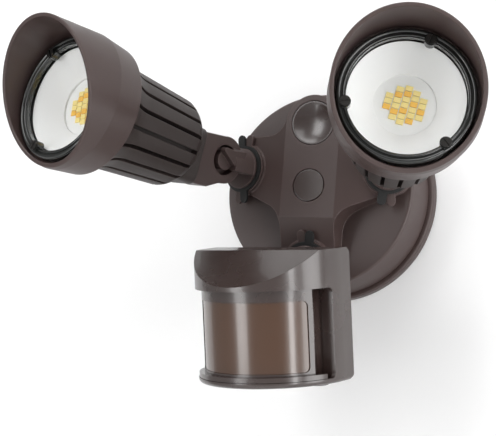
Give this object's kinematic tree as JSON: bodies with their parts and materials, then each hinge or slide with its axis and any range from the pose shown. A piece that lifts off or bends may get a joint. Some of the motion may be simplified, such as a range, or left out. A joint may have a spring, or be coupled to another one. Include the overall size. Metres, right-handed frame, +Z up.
{
  "type": "motion sensor security light",
  "caption": "Outdoor security light with two hooded, finned lamp heads and a motion sensor, each on its own joint, on a round wall canopy.",
  "frame": {"origin": "centre of the round canopy on the wall face", "axes": "+X to the viewer's right, +Y into the wall, +Z up; the lamps point towards -Y"},
  "size_m": [0.2601, 0.1977, 0.1797],
  "materials": {
    "bronze_paint": "die-cast aluminium under a satin dark bronze powder coat",
    "bronze_plastic": "semi-gloss dark bronze",
    "black_gloss": "gloss black",
    "black_rubber": "matte",
    "zinc_steel": "zinc plated",
    "black_screw": "blackened",
    "clear_lens": "clear polished",
    "white_reflector": "satin white",
    "white_board": "white solder mask",
    "green_board": "green solder mask",
    "yellow_phosphor": "matte phosphor",
    "smoked_lens": "smoked translucent",
    "clear_photocell": "tinted"
  },
  "bodies": {
    "canopy": {"wall_gasket": "black_rubber", "base_ring": "bronze_paint", "crossbar": "zinc_steel", "canopy_housing": "bronze_paint", "centre_screw": "black_screw", "centre_cap": "bronze_plastic", "top_plug": "bronze_plastic", "left_stem_seal": "black_rubber", "right_stem_seal": "black_rubber", "sensor_stem_seal": "black_rubber", "left_lock_nut": "bronze_paint", "right_lock_nut": "bronze_paint", "sensor_lock_nut": "bronze_paint"},
    "left_swivel_stem": {"left_stem": "bronze_paint", "left_stem_retainer": "zinc_steel"},
    "left_lamp_head": {"left_lamp_knuckle": "bronze_paint", "left_pivot_screw": "black_screw", "left_lamp_housing": "bronze_paint", "left_hood": "bronze_paint", "left_lens_gasket": "black_rubber", "left_lens": "clear_lens", "left_lens_ring": "black_gloss", "left_lens_screws": "black_screw", "left_reflector": "white_reflector", "left_led_board": "white_board", "left_led_chips": "yellow_phosphor"},
    "right_swivel_stem": {"right_stem": "bronze_paint", "right_stem_retainer": "zinc_steel"},
    "right_lamp_head": {"right_lamp_knuckle": "bronze_paint", "right_pivot_screw": "black_screw", "right_lamp_housing": "bronze_paint", "right_hood": "bronze_paint", "right_lens_gasket": "black_rubber", "right_lens": "clear_lens", "right_lens_ring": "black_gloss", "right_lens_screws": "black_screw", "right_reflector": "white_reflector", "right_led_board": "white_board", "right_led_chips": "yellow_phosphor"},
    "sensor_swivel_stem": {"sensor_stem": "bronze_paint", "sensor_stem_retainer": "zinc_steel"},
    "sensor_ball_ring": {"sensor_friction_ring": "black_gloss"},
    "sensor_head": {"sensor_back_cover": "bronze_plastic", "sensor_housing": "bronze_plastic", "sensor_lens_holder": "bronze_plastic", "fresnel_lens": "smoked_lens", "sensor_board": "green_board", "motion_detector": "zinc_steel", "photocell": "clear_photocell", "sensor_case_screws": "black_screw"},
    "mode_knob": {"mode_knob": "bronze_plastic"},
    "time_dial": {"time_dial": "black_gloss"},
    "light_dial": {"light_dial": "black_gloss"}
  },
  "joints": [
    {"name": "left_swivel", "type": "hinge", "parent": "canopy", "child": "left_swivel_stem", "pos_m": [-0.04252, -0.03875, 0.0103], "axis": [-0.3665, -0.9304, 0], "range_deg": [-150, 150]},
    {"name": "left_tilt", "type": "hinge", "parent": "left_swivel_stem", "child": "left_lamp_head", "pos_m": [-0.05112, -0.06116, 0.01198], "axis": [-0.9234, 0.3637, 0.1227], "range_deg": [-25, 50]},
    {"name": "right_swivel", "type": "hinge", "parent": "canopy", "child": "right_swivel_stem", "pos_m": [0.04252, -0.03875, 0.0103], "axis": [-0.3665, 0.9304, 0], "range_deg": [-150, 150]},
    {"name": "right_tilt", "type": "hinge", "parent": "right_swivel_stem", "child": "right_lamp_head", "pos_m": [0.05111, -0.06119, 0.01197], "axis": [-0.9217, -0.3631, -0.1368], "range_deg": [-25, 50]},
    {"name": "sensor_swivel", "type": "hinge", "parent": "canopy", "child": "sensor_swivel_stem", "pos_m": [0, -0.03934, -0.04303], "axis": [0, -0.9304, -0.3665], "range_deg": [-45, 45]},
    {"name": "sensor_pan", "type": "hinge", "parent": "sensor_swivel_stem", "child": "sensor_ball_ring", "pos_m": [0, -0.06186, -0.0519], "axis": [0, 0, 1], "range_deg": [-8, 32]},
    {"name": "sensor_tilt", "type": "hinge", "parent": "sensor_ball_ring", "child": "sensor_head", "pos_m": [0, -0.06186, -0.0519], "axis": [0.9781, -0.2079, 0], "range_deg": [-12, 24]},
    {"name": "mode_knob_turn", "type": "hinge", "parent": "sensor_head", "child": "mode_knob", "pos_m": [0.02313, -0.07329, -0.10859], "axis": [0.0446, 0.21, -0.9767], "range_deg": [-135, 135]},
    {"name": "time_dial_turn", "type": "hinge", "parent": "sensor_head", "child": "time_dial", "pos_m": [0.0065, -0.06976, -0.10859], "axis": [0.0446, 0.21, -0.9767], "range_deg": [-135, 135]},
    {"name": "light_dial_turn", "type": "hinge", "parent": "sensor_head", "child": "light_dial", "pos_m": [-0.00719, -0.06685, -0.10859], "axis": [0.0446, 0.21, -0.9767], "range_deg": [-135, 135]}
  ]
}
